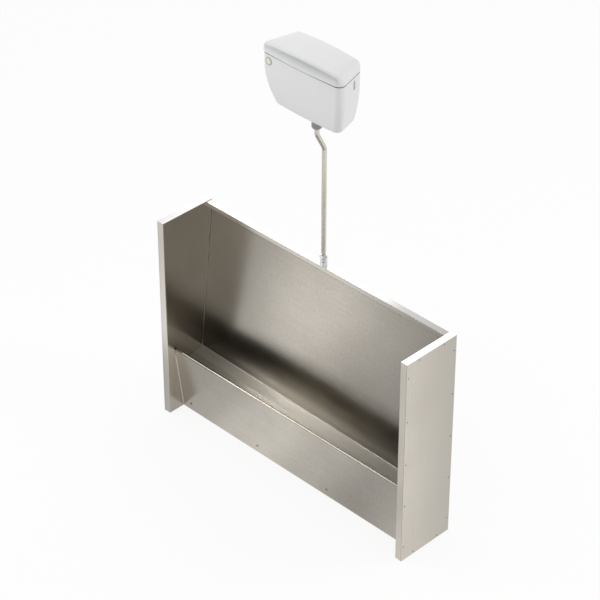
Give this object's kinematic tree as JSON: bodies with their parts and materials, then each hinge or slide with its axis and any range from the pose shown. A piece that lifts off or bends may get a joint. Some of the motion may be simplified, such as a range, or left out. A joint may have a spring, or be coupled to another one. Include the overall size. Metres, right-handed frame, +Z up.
{
  "type": "floor standing urinal",
  "caption": "Stainless steel slab urinal that stands on the floor, with a falling trough behind an apron, boxed end panels, a hood with a sparge pipe and an automatic flushing cistern.",
  "frame": {"origin": "on the floor, at the middle of the width and of the depth from the wall to the front edge", "axes": "+X to the outlet end, -Y out to the user, +Y into the wall, +Z up"},
  "size_m": [1.502, 0.3, 2.12],
  "materials": {
    "stainless": "satin brushed",
    "dull_stainless": "mill finish",
    "chrome": "bright plated",
    "brass": "machined",
    "white_plastic": "gloss",
    "ivory_plastic": "gloss",
    "grey_plastic": "moulded",
    "rubber": "matt",
    "rivet_steel": "bright"
  },
  "bodies": {
    "urinal": {"back_panel": "stainless", "trough": "stainless", "apron": "stainless", "apron_screws": "chrome", "floor_rail": "dull_stainless", "left_inner_panel": "stainless", "right_inner_panel": "stainless", "left_outer_skin": "stainless", "right_outer_skin": "stainless", "left_skin_rivets": "rivet_steel", "right_skin_rivets": "rivet_steel", "hanging_rail": "dull_stainless", "wall_rail": "dull_stainless", "sparge_pipe": "stainless", "sparge_end_plugs": "chrome", "sparge_clips": "stainless", "inlet_back_nut": "brass", "inlet_washer": "rubber", "swivel_nut": "chrome", "coupling_body": "chrome", "compression_olive": "brass", "compression_nut": "chrome", "flush_pipe": "stainless", "flush_pipe_nut": "grey_plastic", "cone_washer": "rubber", "cistern_body": "white_plastic", "lever_hole_plug": "ivory_plastic", "siphon_stem": "white_plastic", "siphon_bell": "white_plastic", "siphon_vent_tube": "grey_plastic", "siphon_washer": "rubber", "siphon_back_nut": "grey_plastic", "petcock_body": "brass", "petcock_washers": "rubber", "petcock_back_nut": "brass", "waste_body": "stainless", "waste_gasket": "rubber", "waste_under_gasket": "rubber", "waste_back_nut": "white_plastic"},
    "lid": {"cistern_lid": "white_plastic"},
    "strainer": {"waste_strainer": "chrome"},
    "petcock_key": {"petcock_key": "chrome"}
  },
  "joints": [
    {"name": "lid_lift", "type": "slide", "parent": "urinal", "child": "lid", "axis": [0, 0, 1], "range_m": [0, 0.12]},
    {"name": "strainer_lift", "type": "slide", "parent": "urinal", "child": "strainer", "axis": [0, 0, 1], "range_m": [0, 0.1]},
    {"name": "petcock_turn", "type": "hinge", "parent": "urinal", "child": "petcock_key", "pos_m": [-0.18232, 0.06963, 2.022], "axis": [0, 0, 1], "range_deg": [0, 90]}
  ]
}
